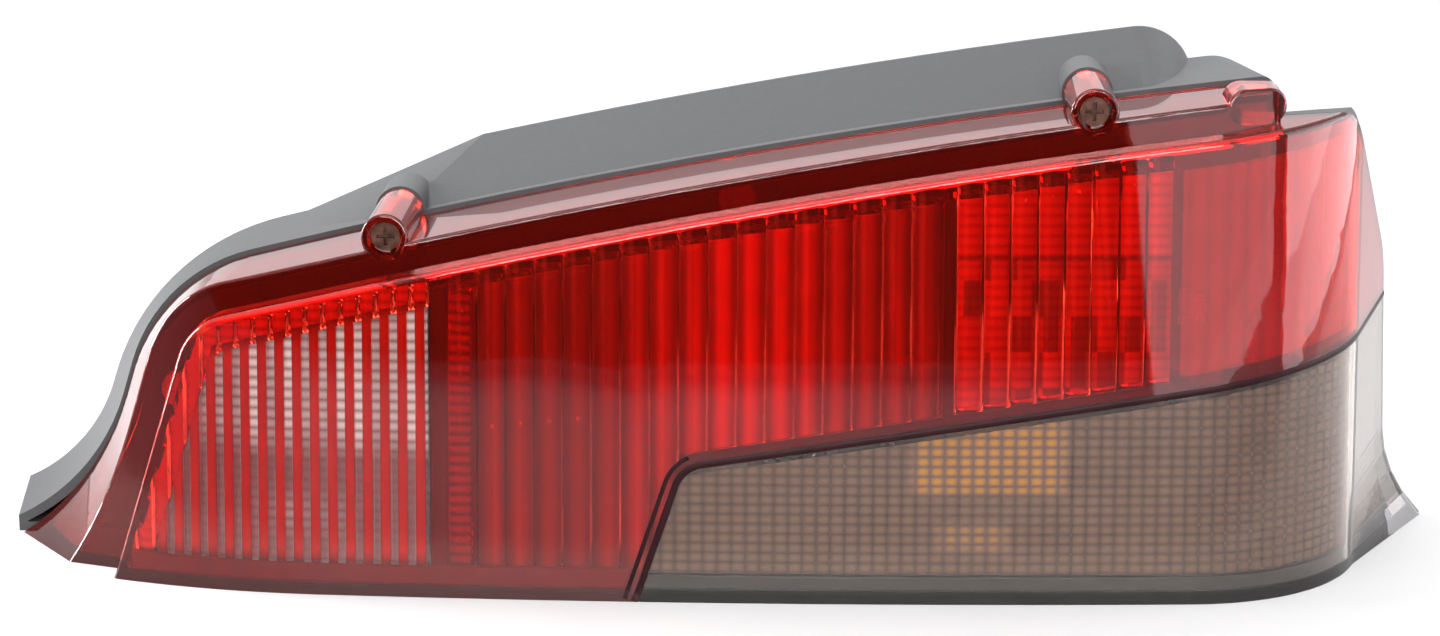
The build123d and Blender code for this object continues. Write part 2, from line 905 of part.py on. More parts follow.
with BuildPart() as bulb_carrier:
    extrude(around_bulbs(plate_y, carrier_radius), amount=-carrier_thickness)
    with BuildSketch(front(socket_front_y)):
        with Locations(*bulbs.values()):
            Circle(socket_radius)
    extrude(amount=-(tip_y - socket_front_y))
    with BuildSketch(front(back_y)):
        with Locations(*carrier_screws.values()):
            Circle(spacer_radius)
    extrude(amount=-carrier_gasket_thickness)
    with BuildSketch(front(plate_back_y)):
        with Locations((connector_x, connector_z)):
            Rectangle(connector_width, connector_height)
            Rectangle(
                connector_width - 2 * connector_wall,
                connector_height - 2 * connector_wall,
                mode=Mode.SUBTRACT,
            )
    extrude(amount=-connector_length)
    with BuildSketch(front(socket_front_y)):
        with Locations(*bulbs.values()):
            Circle(socket_bore)
    extrude(amount=-(tip_y - socket_front_y), mode=Mode.SUBTRACT)
    with BuildSketch(front(socket_front_y)):
        with Locations(*bulbs.values()):
            Rectangle(2 * (base_radius + pin_reach + socket_fit), 2 * (pin_radius + socket_fit))
    extrude(amount=-(pin_y + pin_radius + socket_fit - socket_front_y), mode=Mode.SUBTRACT)
    with BuildSketch(front(back_y)):
        with Locations(*carrier_screws.values()):
            Circle(screw_radius + screw_clearance)
    extrude(amount=-(plate_back_y - back_y), mode=Mode.SUBTRACT)
    with BuildSketch(front(plate_y)):
        with Locations(*[(x, connector_z) for x in terminal_xs]):
            Rectangle(terminal_thickness, terminal_width)
    extrude(amount=-carrier_thickness, mode=Mode.SUBTRACT)
bulb_carrier.part.label = "bulb_carrier"
export_step(bulb_carrier.part, "parts/bulb_carrier.step")

for i, x in enumerate(terminal_xs):
    with BuildPart() as terminal:
        with BuildSketch(front(plate_y - terminal_root)):
            with Locations((x, connector_z)):
                Rectangle(terminal_thickness, terminal_width)
        extrude(amount=-(terminal_root + carrier_thickness + terminal_reach))
    terminal.part.label = f"terminal_{i + 1}"
    export_step(terminal.part, f"parts/terminal_{i + 1}.step")

for name, (x, z) in carrier_screws.items():
    with BuildPart() as carrier_screw:
        add(screw_solid(x, z, plate_back_y, plate_back_y - carrier_screw_tip))
    carrier_screw.part.label = f"carrier_screw_{name}"
    export_step(carrier_screw.part, f"parts/carrier_screw_{name}.step")

with BuildPart() as carrier_gasket:
    extrude(around_bulbs(back_y, carrier_radius), amount=-carrier_gasket_thickness)
    inner = carrier_radius - carrier_gasket_width
    extrude(around_bulbs(back_y, inner), amount=-carrier_gasket_thickness, mode=Mode.SUBTRACT)
carrier_gasket.part.label = "carrier_gasket"
export_step(carrier_gasket.part, "parts/carrier_gasket.step")

with BuildPart() as body_seal:
    extrude(around_bulbs(back_y, carrier_radius + seal_gap + seal_width), amount=-seal_thickness)
    extrude(around_bulbs(back_y, carrier_radius + seal_gap), amount=-seal_thickness, mode=Mode.SUBTRACT)
body_seal.part.label = "body_seal"
export_step(body_seal.part, "parts/body_seal.step")

with BuildPart() as ground_strip:
    with BuildSketch(front(plate_back_y)):
        with BuildLine():
            Polyline([bulbs[name] for name in ("reverse", "tail", "marker", "indicator", "stop")])
        trace(line_width=strip_width)
        with Locations(*bulbs.values()):
            Circle(socket_radius + strip_ring)
        with Locations(*bulbs.values()):
            Circle(socket_radius, mode=Mode.SUBTRACT)
    extrude(amount=-strip_thickness)
ground_strip.part.label = "ground_strip"
export_step(ground_strip.part, "parts/ground_strip.step")
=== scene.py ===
"""Rear lamp of a small hatchback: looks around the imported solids."""

import json
import math
import random

import bpy
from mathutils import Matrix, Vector


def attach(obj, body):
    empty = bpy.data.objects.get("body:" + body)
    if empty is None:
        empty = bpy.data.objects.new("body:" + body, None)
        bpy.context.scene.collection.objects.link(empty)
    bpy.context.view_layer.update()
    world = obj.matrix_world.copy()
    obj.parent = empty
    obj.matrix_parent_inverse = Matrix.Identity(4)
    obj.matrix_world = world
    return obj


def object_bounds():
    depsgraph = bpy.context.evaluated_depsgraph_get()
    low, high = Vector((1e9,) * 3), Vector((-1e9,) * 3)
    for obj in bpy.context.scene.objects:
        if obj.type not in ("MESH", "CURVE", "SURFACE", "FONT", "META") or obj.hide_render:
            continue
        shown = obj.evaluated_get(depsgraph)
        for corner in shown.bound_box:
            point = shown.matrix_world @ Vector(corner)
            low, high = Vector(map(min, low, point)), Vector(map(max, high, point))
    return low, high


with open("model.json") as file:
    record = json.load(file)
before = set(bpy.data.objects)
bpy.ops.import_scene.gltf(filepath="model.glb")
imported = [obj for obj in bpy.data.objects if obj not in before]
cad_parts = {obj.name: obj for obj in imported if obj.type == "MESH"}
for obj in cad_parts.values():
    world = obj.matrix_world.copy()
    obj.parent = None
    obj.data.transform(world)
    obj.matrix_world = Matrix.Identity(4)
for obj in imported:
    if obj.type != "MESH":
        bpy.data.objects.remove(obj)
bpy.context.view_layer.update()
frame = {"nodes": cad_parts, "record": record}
nodes = frame["nodes"]
scene = bpy.context.scene

MM = 0.001

# The lamp's own measures in millimetres, as in the solids: x from the middle, y back from the front, z up
ORIGIN = Vector((0, 91, 97))
FACE_APEX_X = 10
FACE_APEX_Y = -6.6
FACE_RADIUS = 1900
ARC_LEFT = -100
ARC_RIGHT = 118
END_RADIUS = 200
CORNER = Vector((43.5, 33.5))
SIDE_DEPTH = 74
SIDE_TOP = (34, 118.2)
SIDE_KNEE_Z = 72
LEAN = 0.12
SKIRT_HEIGHT = 24
SKIRT_FLARE = 10
FACE_LEFT = 152.5
LEFT_SLOPE = 0.31
TOP_LEFT = (-118, 69.5)
TOP_RIGHT = (157, 117.6)
TOP_BULGE = 4.9
SEAM_FOOT_X = -20
SEAM_CORNER_X = -8.5
SEAM_Z = 34.7
SEAM_SLOPE = 0.15
SEAM_CORNER = 8
SKIN = 2.4
FLUTE_HEIGHT = 1.5
FLUTE_BACK = SKIN + FLUTE_HEIGHT
REVERSE_TAIL_X = -69
TAIL_STOP_X = 57
STOP_END_X = 112
MARKER_INDICATOR_X = 42


def face_y(x):
    """Depth of the front face at the foot."""
    y = FACE_APEX_Y + (x - FACE_APEX_X) ** 2 / (2 * FACE_RADIUS)
    if x < ARC_LEFT:
        y += (x - ARC_LEFT) ** 2 / (2 * END_RADIUS)
    return y


def face_slope(x):
    """Slope of the front face seen from above."""
    slope = (x - FACE_APEX_X) / FACE_RADIUS
    if x < ARC_LEFT:
        slope += (x - ARC_LEFT) / END_RADIUS
    return slope


def top_z(x):
    """Height of the face's top edge."""
    middle = (TOP_LEFT[0] + TOP_RIGHT[0]) / 2
    half = (TOP_RIGHT[0] - TOP_LEFT[0]) / 2
    chord = TOP_LEFT[1] + (TOP_RIGHT[1] - TOP_LEFT[1]) * (x - TOP_LEFT[0]) / (2 * half)
    return chord + TOP_BULGE * (1 - ((x - middle) / half) ** 2)


def left_z(x, margin):
    """Height at which a line beside the slanted left end passes a place."""
    return (x + FACE_LEFT - margin) / LEFT_SLOPE


def seam_z(x):
    """Height of the seam between the two lenses."""
    if x < SEAM_CORNER_X:
        corner = SEAM_Z + SEAM_SLOPE * SEAM_CORNER_X
        return corner * (x - SEAM_FOOT_X) / (SEAM_CORNER_X - SEAM_FOOT_X)
    return SEAM_Z + SEAM_SLOPE * x


def first_flute(start, stop, pitch):
    """Middle of the first flute, with the row of flutes in the middle of its cell."""
    count = int((stop - start) / pitch)
    return (start + stop - (count - 1) * pitch) / 2


def left_of(arrow):
    """Flat arrow at a right angle, on the left."""
    return Vector((-arrow.y, arrow.x))


def turned(arrow, angle):
    """Flat arrow turned by an angle."""
    c, n = math.cos(angle), math.sin(angle)
    return Vector((arrow.x * c - arrow.y * n, arrow.x * n + arrow.y * c))


START = Vector((ARC_RIGHT, face_y(ARC_RIGHT)))
HEADING = Vector((1, face_slope(ARC_RIGHT))).normalized()
INWARD = left_of(HEADING)
CORNER_RADIUS = CORNER.length_squared / (2 * CORNER.dot(INWARD))
CORNER_CENTRE = START + INWARD * CORNER_RADIUS
CORNER_TURN = 2 * math.asin(CORNER.length / (2 * CORNER_RADIUS))
CORNER_LENGTH = CORNER_TURN * CORNER_RADIUS
SIDE_START = ARC_RIGHT + CORNER_LENGTH
SIDE_LENGTH = SIDE_DEPTH - CORNER.y


def plan_point(s):
    """Point and heading of the front seen from above, at a distance along it."""
    if s <= ARC_RIGHT:
        return Vector((s, face_y(s))), Vector((1, face_slope(s))).normalized()
    heading = turned(HEADING, min(s - ARC_RIGHT, CORNER_LENGTH) / CORNER_RADIUS)
    point = CORNER_CENTRE - left_of(heading) * CORNER_RADIUS
    return point + heading * max(0, s - SIDE_START), heading


def seam_along(s):
    """Height of the seam at a distance along the front."""
    return seam_z(plan_point(s)[0].x)


def behind_front(s, z, depth):
    """Point at a depth behind the lens front, in metres in the row frame."""
    point, heading = plan_point(s)
    spot = point + left_of(heading) * depth
    past = s - SIDE_START
    if past > 0 and z < SKIRT_HEIGHT:
        spot.x += SKIRT_FLARE * (1 - z / SKIRT_HEIGHT) ** 2 * past / SIDE_LENGTH
    return (Vector((spot.x, spot.y + LEAN * z, z)) - ORIGIN) * MM


# Nodes of the materials
NOISE_DETAIL = 4
NOISE_SPAN = (0.3, 0.7)


def socket(node, name, value):
    node.inputs[name].default_value = value


def new_material(name):
    """Node material with its tree and its Principled shader."""
    made = bpy.data.materials.new(name)
    made.use_nodes = True
    return made, made.node_tree, made.node_tree.nodes["Principled BSDF"]


def coordinates(tree, kind):
    """Coordinates of a kind."""
    return tree.nodes.new("ShaderNodeTexCoord").outputs[kind]


def split(tree, place):
    """The x, y and z of coordinates."""
    parts = tree.nodes.new("ShaderNodeSeparateXYZ")
    tree.links.new(place, parts.inputs["Vector"])
    return parts.outputs


def noise(tree, place, scale):
    """Random pattern."""
    texture = tree.nodes.new("ShaderNodeTexNoise")
    socket(texture, "Scale", scale)
    socket(texture, "Detail", NOISE_DETAIL)
    tree.links.new(place, texture.inputs["Vector"])
    return texture.outputs["Fac"]


def mapped(tree, source, span, values, kind="LINEAR"):
    """The source's span of values carried over to other values."""
    ramp = tree.nodes.new("ShaderNodeMapRange")
    ramp.interpolation_type = kind
    for name, value in zip(("From Min", "From Max", "To Min", "To Max"), (*span, *values)):
        socket(ramp, name, value)
    tree.links.new(source, ramp.inputs["Value"])
    return ramp.outputs["Result"]


def smooth(tree, source, span, values):
    """Soft step from one value to another over the source's span."""
    return mapped(tree, source, span, values, "SMOOTHSTEP")


def larger(tree, first, second):
    """The larger of two values."""
    maths = tree.nodes.new("ShaderNodeMath")
    maths.operation = "MAXIMUM"
    tree.links.new(first, maths.inputs[0])
    tree.links.new(second, maths.inputs[1])
    return maths.outputs["Value"]


def between(tree, source, dark, light, span):
    """A colour between two, following the source over its span."""
    ramp = tree.nodes.new("ShaderNodeValToRGB")
    for element, place, colour in zip(ramp.color_ramp.elements, span, (dark, light)):
        element.position = place
        element.color = (*colour, 1)
    tree.links.new(source, ramp.inputs["Fac"])
    return ramp.outputs["Color"]


# Materials, by the names of the slots and the scene's own looks
looks = {}
MOTTLE = 8
GRAIN_DEPTH = 0.0002
# The prisms bend light softly, so that only the lens front mirrors the studio
PRISM_IOR = 1.1
PRISM_GRAIN = 900
LIGHT_TONE = 0.6


def graded(name, dark, light, rough, clear, painted_glow=None):
    """Clear plastic whose colour follows the tone, from painted shade in the grooves to painted highlights
    on the crests and on to a painted glow.
    """
    made, tree, shader = new_material(name)
    place = coordinates(tree, "Object")
    tone = tree.nodes.new("ShaderNodeAttribute")
    tone.attribute_name = "tone"
    colour = between(tree, tone.outputs["Fac"], dark, light, (0, LIGHT_TONE if painted_glow else 1))
    if painted_glow:
        colour.node.color_ramp.elements.new(1).color = (*painted_glow, 1)
    tree.links.new(colour, shader.inputs["Base Color"])
    gloss = mapped(tree, noise(tree, place, PRISM_GRAIN), NOISE_SPAN, rough)
    tree.links.new(gloss, shader.inputs["Roughness"])
    socket(shader, "IOR", PRISM_IOR)
    socket(shader, "Transmission Weight", clear)
    looks[name] = made


def surface(name, dark, light, rough, grain, relief, clear=0.0, metal=0.0, ior=1.49):
    """Material with mottled colour, uneven gloss and a fine grain."""
    made, tree, shader = new_material(name)
    place = coordinates(tree, "Object")
    mottle = noise(tree, place, grain / MOTTLE)
    fine = noise(tree, place, grain)
    tree.links.new(between(tree, mottle, dark, light, NOISE_SPAN), shader.inputs["Base Color"])
    tree.links.new(mapped(tree, fine, NOISE_SPAN, rough), shader.inputs["Roughness"])
    if relief:
        height = tree.nodes.new("ShaderNodeBump")
        socket(height, "Strength", relief)
        socket(height, "Distance", GRAIN_DEPTH)
        tree.links.new(fine, height.inputs["Height"])
        tree.links.new(height.outputs["Normal"], shader.inputs["Normal"])
    socket(shader, "Metallic", metal)
    socket(shader, "IOR", ior)
    socket(shader, "Transmission Weight", clear)
    looks[name] = made


# Painted amber glow at the light end of the smoked pillows
SMOKED_GLOW = (1, 0.50, 0.05)
# Prism looks whose tone paints light and shade: their dark ends are painted shade, their light ends painted
# highlights
graded("red_prisms", (0.34, 0.003, 0.003), (0.97, 0.02, 0.015), (0.03, 0.08), 0.8)
graded("bright_prisms", (0.08, 0.006, 0.005), (1, 0.75, 0.42), (0.03, 0.08), 0.35)
graded("clear_prisms", (0.26, 0.03, 0.025), (1, 0.95, 0.88), (0.05, 0.12), 0.02)
graded("smoked_prisms", (0.06, 0.034, 0.028), (0.38, 0.25, 0.195), (0.03, 0.08), 0.5, SMOKED_GLOW)
surface("foot_red", (0.08, 0.003, 0.008), (0.12, 0.004, 0.011), (0.4, 0.55), 1500, 0.1)
surface("seam", (0.010, 0.001, 0.002), (0.02, 0.003, 0.004), (0.3, 0.45), 1500, 0.1, ior=1.2)
surface("red_lens", (0.90, 0.034, 0.016), (0.95, 0.046, 0.020), (0.01, 0.03), 900, 0, clear=0.97)
surface("clear_pane", (0.94, 0.88, 0.87), (0.98, 0.93, 0.92), (0.005, 0.02), 900, 0, clear=0.99)
surface("smoked_lens", (0.80, 0.73, 0.67), (0.86, 0.79, 0.73), (0.008, 0.025), 900, 0, clear=0.985, ior=1.33)
surface("amber", (0.95, 0.42, 0.05), (0.98, 0.5, 0.08), (0.1, 0.2), 900, 0, clear=0.25)
surface("divider", (0.012, 0.006, 0.006), (0.02, 0.01, 0.01), (0.5, 0.65), 1500, 0.15)
surface("housing", (0.047, 0.047, 0.049), (0.052, 0.052, 0.054), (0.45, 0.52), 4200, 0.15, ior=1.35)
surface("rubber", (0.012, 0.012, 0.013), (0.02, 0.02, 0.021), (0.6, 0.75), 1800, 0.3)
surface("foam", (0.016, 0.016, 0.017), (0.035, 0.035, 0.036), (0.8, 0.95), 2400, 0.8)
surface("carrier", (0.33, 0.31, 0.27), (0.39, 0.37, 0.33), (0.35, 0.48), 2000, 0.2)
surface("brass", (0.72, 0.52, 0.22), (0.82, 0.63, 0.30), (0.2, 0.38), 1500, 0.1, metal=1)
surface("reflector", (0.88, 0.88, 0.88), (0.94, 0.94, 0.94), (0.06, 0.11), 700, 0.1, metal=1)
surface("bulb_glass", (0.96, 0.96, 0.96), (1, 1, 1), (0.0, 0.01), 400, 0, clear=1, ior=1.47)
surface("filament", (0.25, 0.25, 0.26), (0.4, 0.4, 0.41), (0.3, 0.45), 3000, 0, metal=1)
surface("screw", (0.035, 0.018, 0.012), (0.12, 0.065, 0.05), (0.4, 0.6), 2500, 0.2, metal=1)
surface("stud", (0.55, 0.55, 0.56), (0.68, 0.68, 0.70), (0.22, 0.36), 2500, 0.1, metal=1)

for part in frame["record"]["subparts"]:
    mesh = nodes[part["node"]].data
    mesh.materials.clear()
    mesh.materials.append(looks[part["material_slot"]])


# Pieces of the scene


def new_piece(name, look, points, faces):
    """Smooth mesh piece that rides on the lamp."""
    mesh = bpy.data.meshes.new(name)
    mesh.from_pydata([tuple(p) for p in points], [], faces)
    mesh.materials.append(looks[look])
    mesh.polygons.foreach_set("use_smooth", [True] * len(mesh.polygons))
    piece = bpy.data.objects.new(name, mesh)
    scene.collection.objects.link(piece)
    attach(piece, "root")
    return piece


def plate(name, look, span, grid, low, high, depth, thickness, relief, tone):
    """Closed plate behind the lens front, with a relief on its back and a tone at each point."""
    (start, stop), (columns, rows) = span, grid
    steps = [start + (stop - start) * i / columns for i in range(columns + 1)]
    points, faces, tones = [], [], []
    for back in (False, True):
        for s in steps:
            for j in range(rows + 1):
                z = low(s) + (high(s) - low(s)) * j / rows
                into = depth + thickness + relief(s, z) if back else depth
                points.append(behind_front(s, z, into))
                tones.append(tone(s, z))
    stride, half = rows + 1, (columns + 1) * (rows + 1)
    for i in range(columns):
        for j in range(rows):
            a = i * stride + j
            faces.append((a, a + stride, a + stride + 1, a + 1))
            faces.append((half + a, half + a + 1, half + a + stride + 1, half + a + stride))
    for i in range(columns):
        a, b = i * stride, (i + 1) * stride
        faces.append((a, half + a, half + b, b))
        faces.append((a + rows, b + rows, half + b + rows, half + a + rows))
    last = columns * stride
    for j in range(rows):
        faces.append((j, j + 1, half + j + 1, half + j))
        faces.append((last + j, half + last + j, half + last + j + 1, last + j + 1))
    piece = new_piece(name, look, points, faces)
    piece.data.attributes.new("tone", "FLOAT", "POINT").data.foreach_set("value", tones)


# Rows and patches that shape the reliefs and tones


def wave(at, pitch):
    """Row of rounded ribs, from 0 in the grooves to 1 on the crests."""
    return abs(math.sin(math.pi * at / pitch))


def ribbed(at, pitch, groove):
    """Row of rounded ribs, from the grooves' tone to 1 on the crests."""
    return groove + (1 - groove) * wave(at, pitch)


def bump(at, middle, reach):
    """Smooth hump around a middle, from 1 down to 0 at its reach."""
    return max(0, 1 - ((at - middle) / reach) ** 2) ** 2


def rise(at, start, length):
    """From 0 at a start up to 1 after a length."""
    return max(0, min(1, (at - start) / length))


def within(at, limits, edge):
    """1 between two limits, falling to 0 at them over an edge."""
    return max(0, min(1, (at - limits[0]) / edge, (limits[1] - at) / edge))


# Margins and thickness that the prism plates share
draw = random.Random(7)
PLATE_GAP = 0.3
PLATE_DEPTH = FLUTE_BACK + PLATE_GAP
PLATE_THICKNESS = 0.6
THIN_PLATE = 0.5
CELL_GAP = 1.5
TOP_MARGIN = 6.5
FOOT_MARGIN = 6
SEAM_MARGIN = 2.4
WIDE_SEAM_MARGIN = 4


def below_top(s):
    """Top of the prisms under the face's top edge."""
    return top_z(s) - TOP_MARGIN


def above_seam(s):
    """Foot of the prisms over the seam, or over the foot where the red lens goes down to it."""
    return FOOT_MARGIN if s < SEAM_FOOT_X else max(FOOT_MARGIN, seam_z(s) + SEAM_MARGIN)


# Prisms of the reversing cell, seen through the clear slots between the red bars, with painted light behind
# the bars and painted highlights in the slots
REVERSE_PITCH = 4.4
REVERSE_RIB = 2.5
REVERSE_SPAN = (-147, REVERSE_TAIL_X - 3)
REVERSE_FOOT = 3.5
REVERSE_MARGIN = 4.5
REVERSE_DEPTH = FLUTE_BACK + 1.6
REVERSE_RELIEF = 0.7
SLOT_FIRST = first_flute(-FACE_LEFT, REVERSE_TAIL_X, REVERSE_PITCH) + REVERSE_PITCH / 2
SLOT_SHIFT = 0.25
SLOT_HALF = 0.95
SLOT_EDGE = 0.4
SLOT_TONE = 0.04
BAR_TONE = 0.85
DASH_TONE = 1.6
DASH_GROOVE = 0.18
DASH_FOOT = 7
DASH_EDGE = 3
# Where the painted highlight dashes begin, as a place and a length, and where a few faint ones lie, as a
# middle and a reach
DASHES_X = (-134, 16)
DASHES_Z = (33, 9)
FAINT_X = (-104, 16)
FAINT_Z = (19, 8)
FAINT_TONE = 0.3
column_tones = [draw.uniform(0.25, 1) for _ in range(20)]


def reverse_high(s):
    """Top of the reversing cell, with the slanted left end."""
    return min(top_z(s) - REVERSE_MARGIN, left_z(s, REVERSE_MARGIN) + REVERSE_FOOT)


def reverse_tone(s, z):
    """Painted light behind the bars, and behind the slots bright dashes of painted highlight in the upper
    part over prisms dark with painted shade; all of it darkens towards the foot and the top.
    """
    column = (s - REVERSE_DEPTH * face_slope(s) + SLOT_SHIFT - SLOT_FIRST) / REVERSE_PITCH + 0.5
    bar = rise(abs(column % 1 - 0.5) * REVERSE_PITCH, SLOT_HALF, SLOT_EDGE)
    painted_glow = rise(z, *DASHES_Z) * rise(s, *DASHES_X) + FAINT_TONE * bump(z, *FAINT_Z) * bump(s, *FAINT_X)
    lit = min(1, SLOT_TONE + DASH_TONE * painted_glow * column_tones[int(column)])
    slot = lit * ribbed(z, REVERSE_RIB, DASH_GROOVE)
    inside = within(z, (DASH_FOOT, reverse_high(s) - DASH_EDGE), DASH_EDGE)
    return inside * (bar * BAR_TONE + (1 - bar) * slot)


plate(
    "reverse_prisms", "clear_prisms", REVERSE_SPAN, (150, 230),
    lambda s: REVERSE_FOOT, reverse_high, REVERSE_DEPTH, THIN_PLATE,
    lambda s, z: REVERSE_RELIEF * wave(z, REVERSE_RIB), reverse_tone,
)

# Thin strip behind the ends of the bars, along the slanted left end and the top, its bright ribbed tone a
# painted highlight
BAR_END = 7.2
BAR_FOOT = 7.9
STRIP_TOP = 2.5
STRIP_LEFT = 2.6
STRIP_GAP = 0.05
STRIP_THICKNESS = 0.06
STRIP_RELIEF = 0.05
STRIP_TONE = 0.8
STRIP_GROOVE = 0.5
plate(
    "margin_prisms", "bright_prisms", REVERSE_SPAN, (150, 40),
    lambda s: max(BAR_FOOT, min(top_z(s) - BAR_END, left_z(s, BAR_END))),
    lambda s: min(top_z(s) - STRIP_TOP, left_z(s, STRIP_LEFT)),
    FLUTE_BACK + STRIP_GAP, STRIP_THICKNESS,
    lambda s, z: STRIP_RELIEF * wave(z, REVERSE_RIB),
    lambda s, z: STRIP_TONE * ribbed(z, REVERSE_RIB, STRIP_GROOVE),
)

# Ladder of short prisms at the left end of the tail cell, with painted highlights on the crests of their
# ribs
LADDER = (-66.4, -61.6)
LADDER_RELIEF = 0.8
LADDER_TONE = 0.85
LADDER_SHARPNESS = 1.5
plate(
    "ladder_prisms", "red_prisms", LADDER, (6, 300),
    lambda s: FOOT_MARGIN, below_top, PLATE_DEPTH, PLATE_THICKNESS,
    lambda s, z: LADDER_RELIEF * wave(z, REVERSE_RIB),
    lambda s, z: LADDER_TONE * wave(z, REVERSE_RIB) ** LADDER_SHARPNESS,
)

# Upright prisms of the tail cell, one behind each flute, with painted highlights on the crests
TAIL_PITCH = 7.1
TAIL_FIRST = first_flute(REVERSE_TAIL_X, TAIL_STOP_X, TAIL_PITCH)
TAIL_SPAN = (LADDER[1] + 0.6, TAIL_STOP_X - CELL_GAP)
TAIL_RELIEF = 1.8
TAIL_SHARPNESS = 1.8
TAIL_TONE = 0.4
# Painted reflection of light in the cup: its strength, and its middle and reach along the front
TAIL_GLOW = 0.85
TAIL_GLOW_X = (10, 45)
flute_tones = [draw.uniform(0.55, 1) for _ in range(20)]


def tail_rib(s):
    """Crest behind the middle of each flute."""
    return wave(s - TAIL_FIRST + TAIL_PITCH / 2, TAIL_PITCH)


def tail_tone(s, z):
    """Painted highlights on the crests, with tones of their own, lightest in the middle of the cell where a
    painted reflection of light in the cup lies.
    """
    own = flute_tones[int((s - TAIL_FIRST) / TAIL_PITCH + 1)]
    return tail_rib(s) ** TAIL_SHARPNESS * own * (TAIL_TONE + TAIL_GLOW * bump(s, *TAIL_GLOW_X))


plate(
    "tail_prisms", "bright_prisms", TAIL_SPAN, (384, 40),
    above_seam, below_top, PLATE_DEPTH, PLATE_THICKNESS,
    lambda s, z: TAIL_RELIEF * tail_rib(s), tail_tone,
)

# Blocks of the stop cell, two across each flute, with their own leans and tones, and painted highlights and
# shade in those tones
STOP_PITCH = 6.6
STOP_SPAN = (TAIL_STOP_X + CELL_GAP, STOP_END_X - CELL_GAP)
BLOCKS_ACROSS = 2
BLOCK_HEIGHT = 8.8
BLOCK_RELIEF = 0.9
BLOCK_RIB = 2.5
BLOCK_RIB_RELIEF = 0.25
BLOCK_GROOVE = 0.65
COLUMN_GROOVE = 0.72
LEAN_ACROSS = 0.10
LEAN_UP = 0.16
LOW_TONES = (0.35, 0.8, 1)
STOP_LINE_Z = 84.6
STOP_LINE_REACH = 1.3
STOP_LINE_SHADE = 0.6


def new_block():
    """Leans of a block, its tone, and how much darker it is under the line."""
    across = draw.uniform(-LEAN_ACROSS, LEAN_ACROSS)
    up = draw.uniform(-LEAN_UP, LEAN_UP)
    return across, up, draw.uniform(0.8, 1), draw.choice(LOW_TONES)


blocks = {(i, j): new_block() for i in range(20) for j in range(16)}


def block_place(s, z):
    """Column and row of the block at a point."""
    return int((s - TAIL_STOP_X) / STOP_PITCH * BLOCKS_ACROSS), int(z / BLOCK_HEIGHT)


def stop_relief(s, z):
    """Blocks that each lean their own way, with fine cross ribs."""
    i, j = block_place(s, z)
    across, up, _, _ = blocks[i, j]
    from_middle = (s - TAIL_STOP_X) - (i + 0.5) * STOP_PITCH / BLOCKS_ACROSS
    over_middle = z - (j + 0.5) * BLOCK_HEIGHT
    return BLOCK_RELIEF + across * from_middle + up * over_middle + BLOCK_RIB_RELIEF * wave(z, BLOCK_RIB)


def stop_tone(s, z):
    """Light and dark columns with fine grooves, painted highlights on the crests and painted shade in the
    grooves, a dark line of painted shade across and darker blocks under it.
    """
    _, _, own, low_tone = blocks[block_place(s, z)]
    if z < STOP_LINE_Z:
        own *= low_tone
    line = 1 - STOP_LINE_SHADE * bump(z, STOP_LINE_Z, STOP_LINE_REACH)
    column = ribbed(s - TAIL_STOP_X, STOP_PITCH, COLUMN_GROOVE)
    return own * column * ribbed(z, BLOCK_RIB, BLOCK_GROOVE) * line


plate(
    "stop_prisms", "bright_prisms", STOP_SPAN, (156, 180),
    lambda s: seam_z(s) + WIDE_SEAM_MARGIN, below_top, PLATE_DEPTH, PLATE_THICKNESS, stop_relief, stop_tone,
)

# Faint ribs round the turned corner of the red lens, lighter on their crests with painted highlights
WRAP_SPAN = (STOP_END_X + CELL_GAP, SIDE_START + 6)
WRAP_PITCH = 5
WRAP_RELIEF = 0.5
WRAP_GROOVE = 0.55


def wrap_high(s):
    """Top of the turned side, under the top edge and in front of the slanted back edge."""
    place = plan_point(s)[0]
    fall = (SIDE_DEPTH - SIDE_TOP[0]) / (SIDE_TOP[1] - SIDE_KNEE_Z)
    back = (SIDE_TOP[0] + fall * SIDE_TOP[1] - TOP_MARGIN - place.y) / (fall + LEAN)
    return min(below_top(place.x), back)


plate(
    "wrap_prisms", "red_prisms", WRAP_SPAN, (200, 30),
    lambda s: seam_along(s) + WIDE_SEAM_MARGIN, wrap_high, SKIN + PLATE_GAP, PLATE_THICKNESS,
    lambda s, z: WRAP_RELIEF * wave(s, WRAP_PITCH), lambda s, z: ribbed(s, WRAP_PITCH, WRAP_GROOVE),
)

# Pillows behind the smoked lens, in two plates, with painted highlights on the pillows and painted shade
# that makes them darker round the corner and on the turned side
PILLOW = (3.5, 2.4)
PILLOW_RELIEF = 0.6
PILLOW_ROUNDNESS = 0.7
PILLOW_GROOVE = 0.25
CREST_ROUNDNESS = 0.6
GRID_START = SEAM_FOOT_X + 3.5
GRID_MIDDLE = 60
GRID_END = SIDE_START + 33
GRID_FOOT = 6.8
GRID_DEPTH = SKIN + 0.15
GRID_ROWS = 120
GRID_SEAM_MARGIN = 2.5
GRID_LEAST_HEIGHT = 0.3
SIDE_SHADE = 0.3
CORNER_FADE = 25
SIDE_FADE = 4
# Painted amber glow that stands for the amber cap of the indicator bulb as the pillows spread it: limits
# along the front and in height
AMBER_UPPER = ((47, 87), (25.6, 46))
AMBER_LOWER = ((53, 73), (11.5, 20.5))
AMBER_LOWER_TONE = 0.6
AMBER_EDGE = 2.5
AMBER_GROOVE = 0.5


def pillow(s, z):
    """Crossed rows of rounded ribs."""
    return wave(s, PILLOW[0]) * wave(z, PILLOW[1])


def patch(s, z, limits):
    """1 inside a patch, falling to 0 at its limits."""
    return within(s, limits[0], AMBER_EDGE) * within(z, limits[1], AMBER_EDGE)


